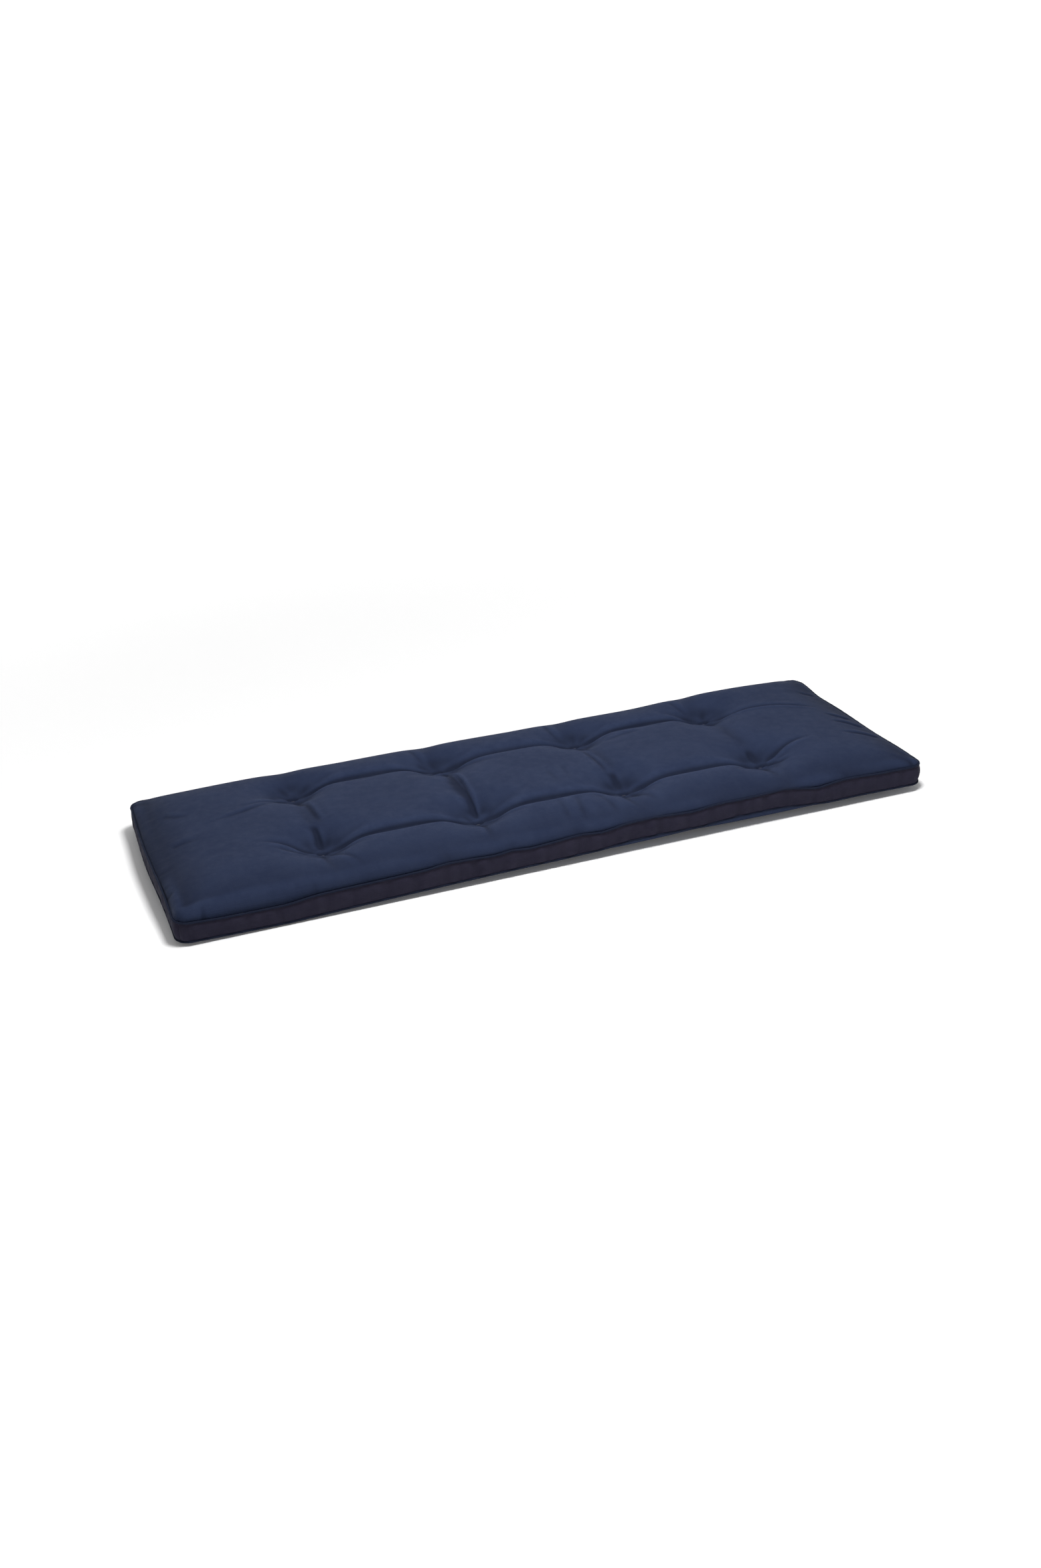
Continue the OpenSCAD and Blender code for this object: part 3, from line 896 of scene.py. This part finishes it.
def piece(name, points, quads, slot, node, uv=None, painted_shade=None):
    """A piece of the model, in a slot's material, that stands for one node."""
    obj = new_mesh(name, points, quads)
    mesh = obj.data
    mesh.materials.append(MATERIALS[slot])
    mesh.polygons.foreach_set("use_smooth", [True] * len(mesh.polygons))
    if uv is not None:
        layer = mesh.uv_layers.new(name="cloth")
        index = np.empty(len(mesh.loops), dtype=np.int32)
        mesh.loops.foreach_get("vertex_index", index)
        layer.data.foreach_set("uv", np.asarray(uv, dtype=np.float32)[index].ravel())
    if painted_shade is not None:
        field = mesh.attributes.new("painted_shade", "FLOAT", "POINT")
        field.data.foreach_set("value", np.asarray(painted_shade, dtype=np.float32))
    mesh.update()
    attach(obj, "root")
    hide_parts(node)
    return obj


def closed_grid(n, m, flip):
    """Faces of a grid, of the same grid turned over behind it, and of the rim between them."""
    size = n * m
    a = np.array([i * m + j for i, j in outline(n, m)])
    b = np.roll(a, -1)
    side = np.stack([a + size, b + size, b, a], -1)
    if flip:
        side = side[:, ::-1]
    return np.concatenate([grid_quads(n, m, 0, flip), grid_quads(n, m, size, not flip), side])


def slab(face, back, flip):
    """Points and faces of a solid between two grids of one size."""
    points = np.concatenate([face.reshape(-1, 3), back.reshape(-1, 3)])
    return points, closed_grid(*face.shape[:2], flip)


# This field drives the shade painted into the cloth's hollows
def hollows(grid, out):
    """How far each point lies below its surroundings, in millimetres, from -1 to 1."""
    wide = np.sum((blurred(grid, 30) - grid) * out, -1)
    fine = np.sum((blurred(grid, 5) - grid) * out, -1)
    broad = np.zeros(wide.shape)
    if min(grid.shape[:2]) > 40:
        rough = grid[::4, ::4]
        broad = doubled(doubled(doubled(doubled(blurred(rough, 14) - rough, 0), 0), 1), 1)
        broad = broad[:grid.shape[0], :grid.shape[1], 2] * np.sign(out[..., 2].mean())
    marks = wide * 0.3 + fine * 1.2 + np.clip(broad, -1, 6) * 0.06
    return np.clip(blurred(marks[..., None], 4)[..., 0], -1, 1)


CLOTH_T = 0.9


def cloth(name, grid, uv, flip, slot, node, darker=0):
    """A sheet of cloth with its outer face on a grid."""
    out = normals(grid) * (-1 if flip else 1)
    inner = grid - out * CLOTH_T
    # Painted shade: the shade of the hollows and of the rim reaches the cloth's colour through this field
    marks = np.clip(hollows(grid, out) + darker, -1, 1)
    uv = np.tile(uv.reshape(-1, 2), (2, 1))
    return piece(name, *slab(grid, inner, flip), slot, node, uv, np.tile(marks.ravel(), 2))


def lengths_along(p):
    return np.concatenate([[0], np.cumsum(np.linalg.norm(np.diff(p, axis=0), axis=1))])


def unit(v):
    return v / np.linalg.norm(v, axis=1, keepdims=True)


def tangents(p, closed):
    return unit(np.roll(p, -1, 0) - np.roll(p, 1, 0) if closed else np.gradient(p, axis=0))


def carried(tangent, start):
    """A side direction carried along a path without twisting."""
    side = np.zeros_like(tangent)
    first = np.cross(tangent[0], start)
    side[0] = first / np.linalg.norm(first)
    for k in range(1, len(tangent)):
        s = side[k - 1] - tangent[k] * (side[k - 1] @ tangent[k])
        side[k] = s / np.linalg.norm(s)
    return side


def tube(path, radius, sides, closed=False, frame_up=None):
    """Points, faces and UVs of a tube along a path."""
    p = np.asarray(path, dtype=float)
    n = len(p)
    tangent = tangents(p, closed)
    if frame_up is not None:
        side = unit(np.cross(tangent, frame_up))
    else:
        side = carried(tangent, (0.3, 0.2, 0.9))
    other = np.cross(tangent, side)
    lengths = lengths_along(p)
    angle = np.tile(np.linspace(0, 2 * np.pi, sides, endpoint=False), (n, 1))
    r = np.broadcast_to(np.asarray(radius, dtype=float), (n,))[:, None, None]
    cos, sin = np.cos(angle)[..., None], np.sin(angle)[..., None]
    pts = p[:, None] + r * (cos * side[:, None] + sin * other[:, None])
    k, a = np.meshgrid(np.arange(n if closed else n - 1), np.arange(sides), indexing="ij")
    i0, i1 = k * sides, (k + 1) % n * sides
    a1 = (a + 1) % sides
    quads = np.stack([i0 + a, i0 + a1, i1 + a1, i1 + a], -1).reshape(-1, 4)
    uv = np.stack(np.broadcast_arrays(lengths[:, None], angle * np.mean(r)), -1)
    faces = quads.tolist()
    if not closed:
        faces.append(list(range(sides - 1, -1, -1)))
        faces.append([(n - 1) * sides + a for a in range(sides)])
    return pts.reshape(-1, 3), faces, uv.reshape(-1, 2)


def joined(parts):
    """Several lots of points, faces and UVs as one."""
    points, faces, uvs, start = [], [], [], 0
    for pts, quads, uv in parts:
        points.append(pts)
        uvs.append(uv)
        faces += [[k + start for k in f] for f in quads]
        start += len(pts)
    return np.concatenate(points), faces, np.concatenate(uvs)


def strands(path, radius, pitch=4.2, closed=False):
    """A twisted rope: two strands wound round a path."""
    p = np.asarray(path, dtype=float)
    tangent = tangents(p, closed)
    side = carried(tangent, (0.31, 0.83, 0.2))
    other = np.cross(tangent, side)
    thin = radius * 0.54
    parts = []
    for c in range(2):
        a = (lengths_along(p) / pitch * 2 * np.pi + c * np.pi)[:, None]
        strand = p + (radius - thin) * (np.cos(a) * side + np.sin(a) * other)
        parts.append(tube(strand, thin, 6, closed))
    return parts


def resampled(path, step, closed=False):
    p = np.asarray(path, dtype=float)
    if closed:
        p = np.concatenate([p, p[:1]])
    lengths = lengths_along(p)
    n = max(int(lengths[-1] / step), 2)
    at = np.linspace(0, lengths[-1], n + 1)
    out = np.stack([np.interp(at, lengths, p[:, k]) for k in range(3)], -1)
    return out[:-1] if closed else out


# ---- Cover ----

plan_uv = np.stack([FINE_X, FINE_Y], -1)
# Painted shade: the cloth is painted darker towards the seams, most of all at the two ends, for the shade
# on the slopes there
END_DARK, SIDE_DARK = 0.95, 0.62
end_share = END_DARK * (1 - ease((HALF_L - np.abs(FINE_X)) / 110))
side_share = SIDE_DARK * (1 - ease((HALF_W - np.abs(FINE_Y)) / 100))
rim_painted_shade = np.maximum(end_share, side_share)
top_piece = cloth("top_panel_cloth", top, plan_uv, False, "cover_fabric", "top_panel", rim_painted_shade)
bottom_piece = cloth("bottom_panel_cloth", bottom, plan_uv + 3000, True, "cover_fabric", "bottom_panel")

RING_STEP = 3.0  # about the spacing of the fine ring's points
corner_ks = [0, 2 * (nx - 1), 2 * (nx - 1 + ny - 1), 2 * (2 * (nx - 1) + ny - 1), n_ring]
ring_out = -normals(border, ring=True)

# Beside each corner seam the cloth turns in
from_corner = np.full(n_ring, 1e9)
for k in corner_ks:
    from_corner = np.minimum(from_corner, np.abs(np.arange(n_ring) - k) * RING_STEP)
turn_in = 1.3 * np.exp(-((from_corner / 3.0) ** 2)) - 0.9 * np.exp(-(((from_corner - 8) / 4) ** 2))
rows = np.sin(np.pi * np.arange(border_rows) / (border_rows - 1))
# Small puckers, most where the border is gathered into its seams
fine_pucker = np.zeros((n_ring, border_rows))
for seed, waves, level in ((7, ((150, 0.22), (90, 0.3)), 0.18), (9, ((170, 0.2), (100, 0.3)), 0.82)):
    wave = ring_wave(seed, waves, np.arange(n_ring), n_ring, (0.7, 1.3))
    t = np.arange(border_rows) / (border_rows - 1)
    fine_pucker += wave[:, None] * np.exp(-(((t - level) / 0.28) ** 2))[None, :]
border_shape = border + ring_out * ((fine_pucker - turn_in[:, None]) * rows[None, :])[..., None]

SIDES = ("front", "right", "back", "left")
heights = np.linspace(0, 40, border_rows)
for side, k0, k1 in zip(SIDES, corner_ks, corner_ks[1:]):
    ks = np.arange(k0, k1 + 1) % n_ring
    s = np.arange(k0, k1 + 1) * RING_STEP
    uv = np.stack(np.meshgrid(s, heights, indexing="ij"), -1)
    cloth(
        f"{side}_border_cloth", border_shape[ks], uv, True, "border_fabric", f"{side}_border"
    )

# ---- Piping, with its flange inside the seam ----
FLANGE_T, FLANGE_H = 0.7, 10.0
ring_flat_out = ring_out.mean(1) * (1, 1, 0)
ring_flat_out = unit(ring_flat_out)
for name, row, down in (("top_piping", 0, -1), ("bottom_piping", -1, 1)):
    line = border[:, row]
    centre = line + ring_flat_out * 0.5
    rng = np.random.default_rng(31 + row)
    swelling = 1 + 0.05 * np.sin(np.arange(n_ring) * 0.9) + 0.04 * rng.standard_normal(n_ring)
    cord_part = tube(centre, PIPING_R * 0.95 * swelling, 14, closed=True, frame_up=UP)
    ring_k = np.arange(n_ring)
    corners = []
    near_face, far_face, root = -1.9, -1.9 - FLANGE_T, 0.6
    for dx, dz in ((near_face, root), (near_face, FLANGE_H), (far_face, FLANGE_H), (far_face, root)):
        corners.append(line + ring_flat_out * dx + np.array([0, 0, down * dz]))
    flange = np.stack(corners, 1).reshape(-1, 3)
    nxt = (ring_k + 1) % n_ring
    quads = []
    for c in range(4):
        d = (c + 1) % 4
        q = np.stack([ring_k * 4 + c, ring_k * 4 + d, nxt * 4 + d, nxt * 4 + c], -1)
        quads.append(q if down > 0 else q[:, ::-1])
    flange_uv = np.stack([np.repeat(ring_k * RING_STEP, 4), np.tile([0, 10, 11, 1], n_ring)], -1)
    pts, faces_, uvs = joined([cord_part, (flange, np.concatenate(quads).tolist(), flange_uv)])
    piece(f"{name}_cord", pts, faces_, "piping_fabric", name, uvs)

# ---- Filling ----


def lowest_near(z, reach):
    """The lowest value within so many grid steps of each point."""
    for axis in (0, 1):
        p = np.pad(z, [(reach, reach) if a == axis else (0, 0) for a in (0, 1)], mode="edge")
        n = z.shape[axis]
        z = np.min([np.take(p, range(k, k + n), axis) for k in range(2 * reach + 1)], axis=0)
    return z


FOAM_INSET = 11.0
FOAM_CLEAR = 4.2
WADDING_INSET = 5.0
FOAM_SHOULDER, FOAM_SQUEEZE, FOAM_TILT = 4.0, 4.5, 0.75

coarse = np.s_[::4, ::4]
px, py = FINE_X[coarse], FINE_Y[coarse]
fx_, fy_ = px * (1 - FOAM_INSET / HALF_L), py * (1 - FOAM_INSET / HALF_W)
rim_gap = np.minimum(HALF_L - np.abs(px), HALF_W - np.abs(py))
shoulder = FOAM_SHOULDER * (1 - roll(rim_gap, 14))
squeeze = FOAM_SQUEEZE * tuft_pull(px, py, 60, 2)
low, high = box_mm("foam_core")
# The foam follows the seams: the front rim's height blends into the back rim's
t = ease((FINE_Y + HALF_W) / (2 * HALF_W))
tilt = (top[:, 0, 2] - TOP_SEAM)[:, None] * (1 - t) + (top[:, -1, 2] - TOP_SEAM)[:, None] * t
tilt = blurred(tilt[coarse], 6)
under_top = lowest_near(top[..., 2], 6)[coarse] - FOAM_CLEAR
over_bottom = -lowest_near(-bottom[..., 2], 6)[coarse] + FOAM_CLEAR
foam_high_z = np.minimum(high[2] - shoulder - squeeze + tilt * FOAM_TILT, under_top)
foam_low_z = np.maximum(low[2] + shoulder + squeeze + tilt * FOAM_TILT, over_bottom)
foam_top = np.stack([fx_, fy_, foam_high_z], -1)
foam_low = np.stack([fx_, fy_, np.minimum(foam_low_z, foam_high_z - 2)], -1)
foam_piece = piece("foam_core_block", *slab(foam_top, foam_low, False), "foam", "foam_core")


def wadding(name, node, face, foam, out_sign, flip):
    """Fibre between a panel and the foam, a little clear of both."""
    every_other = np.s_[::2, ::2]
    clear = blurred(lowest_near(face[..., 2] * out_sign, 5)[..., None], 1)[every_other][..., 0] - 1.6
    x = face[every_other][..., 0] * (1 - WADDING_INSET / HALF_L)
    y = face[every_other][..., 1] * (1 - WADDING_INSET / HALF_W)
    inner = doubled(doubled(foam, 0), 1) + np.array([0, 0, 0.8 * out_sign])
    outer = np.stack([x, y, np.maximum(clear, inner[..., 2] * out_sign + 0.6) * out_sign], -1)
    return piece(name, *slab(outer, inner, flip), "wadding", node)


upper_piece = wadding("upper_wadding_fibre", "upper_wadding", top, foam_top, 1, False)
lower_piece = wadding("lower_wadding_fibre", "lower_wadding", bottom, foam_low, -1, True)

# ---- Sewing ----
STITCH, THREAD_R, WHIP_R = 3.2, 0.36, 0.42


def running_stitch(line, inward, drop, name, node):
    """One machine-sewn line: a thread that dips in and out at every stitch."""
    path = resampled(line + ring_flat_out * -inward + UP * drop, STITCH / 4, closed=True)
    n = len(path) // 4 * 4
    path = path[:n]
    k = np.arange(n) % 4
    outward = unit((path - path.mean(0)) * (1, 1, 0))
    path = path + outward * np.choose(k, (-0.35, 0.15, 0.35, 0.15))[:, None]
    pts, quads, _ = tube(path, THREAD_R, 5, closed=True, frame_up=UP)
    piece(name, pts, quads, "sewing_thread", node)


running_stitch(border[:, 0], 3.6, -5, "top_seam_stitches", "top_seam_thread")
running_stitch(border[:, -1], 3.6, 5, "bottom_seam_stitches", "bottom_seam_thread")

parts = []
for k in corner_ks[:-1]:
    column = border_shape[k]
    inner = column - ring_flat_out[k] * 2.0
    path = resampled(inner[3:-3], 0.8)
    side = np.cross(ring_flat_out[k], UP)
    j = np.arange(len(path))
    path = path + side * (0.45 * np.where(j % 4 < 2, 1, -1))[:, None]
    parts.append(tube(path, THREAD_R, 6))
pts, quads, _ = joined(parts)
piece("corner_seam_stitches", pts, quads, "sewing_thread", "corner_seam_threads")

# Whipped stitches by hand that close the cover along the foot of its back
rng = np.random.default_rng(5)
low, high = box_mm("closing_stitches")
count = int(round((high[0] - low[0]) / 12)) + 1
parts = []
back_line = border[corner_ks[2]:corner_ks[3], -1]
back_out = ring_flat_out[corner_ks[2]:corner_ks[3]]
for c in range(count):
    x = low[0] + (high[0] - low[0]) * c / (count - 1) + rng.uniform(-0.8, 0.8)
    k = int(np.argmin(np.abs(back_line[:, 0] - x)))
    centre = back_line[k] + back_out[k] * 0.5
    path = []
    for a in np.linspace(math.radians(118), math.radians(-62), 12):
        r = PIPING_R + 0.55
        lean = 2.4 * (a - math.radians(28)) / math.pi
        path.append(centre + back_out[k] * r * math.cos(a) + np.array([lean, 0, r * math.sin(a)]))
    parts.append(tube(path, WHIP_R, 6))
pts, quads, _ = joined(parts)
piece("closing_whip_stitches", pts, quads, "sewing_thread", "closing_stitches")

# ---- Tufting twine ----


def rounded_loop(width, low_z, high_z, r):
    pts = []
    for cx, cz, a0 in ((width - r, high_z - r, 0), (-width + r, high_z - r, 90),
                       (-width + r, low_z + r, 180), (width - r, low_z + r, 270)):
        for a in np.linspace(a0, a0 + 90, 7):
            pts.append((cx + r * math.cos(math.radians(a)), 0, cz + r * math.sin(math.radians(a))))
    return resampled(pts, 0.5, closed=True)


def knot(rng):
    t = np.linspace(0, 2 * np.pi, 60, endpoint=False)
    x, y, z = np.sin(t) + 2 * np.sin(2 * t), np.cos(t) - 2 * np.cos(2 * t), -np.sin(3 * t)
    turn = rng.uniform(0, 6)
    c, s = math.cos(turn), math.sin(turn)
    return np.stack([0.78 * (c * x - s * y), 0.62 * (s * x + c * y), 0.85 * z], -1)


TWINE_R, KNOT_R = 1.15, 0.95
for k, (tx, ty) in enumerate(TUFTS):
    rng = np.random.default_rng(100 + k)
    loop = rounded_loop(3.5, BOTTOM_TUFT_Z - 1.4, TOP_TUFT_Z + 1.35, 1.9)
    parts = strands(loop, TWINE_R, closed=True)
    foot = BOTTOM_TUFT_Z - 4.2
    parts += strands(resampled(knot(rng) + (0, 0, foot), 0.4, closed=True), KNOT_R, closed=True)
    for side in (-1, 1):
        aim = math.radians(30 + rng.uniform(-25, 25)) + (math.pi if side < 0 else 0)
        reach = rng.uniform(10, 13)
        t = np.linspace(0, 1, 24)[:, None]
        away = np.array([[math.cos(aim), math.sin(aim), 0]])
        bend = np.array([[-math.sin(aim), math.cos(aim), 0]]) * rng.uniform(-3, 3)
        tail = np.array([[0, 0, foot]]) + away * (1.5 + reach * t) + bend * t**2
        tail[:, 2] -= (3.2 * t[:, 0]) * (1.3 - 0.5 * t[:, 0])
        parts += strands(tail, KNOT_R, pitch=4)
        for _ in range(5):
            tip = tail[-1] + rng.uniform(-0.5, 0.5, 3)
            end = tip + away[0] * rng.uniform(1.5, 2.8) + rng.uniform(-1, 1, 3) * (1, 1, 0.6)
            parts.append(tube(np.linspace(tip, end, 5), np.linspace(0.22, 0.08, 5), 5))
    pts, quads, _ = joined(parts)
    piece(f"tuft_twine_loop_{k + 1}", pts + (tx, ty, 0), quads, "tufting_twine", f"tuft_twine_{k + 1}")
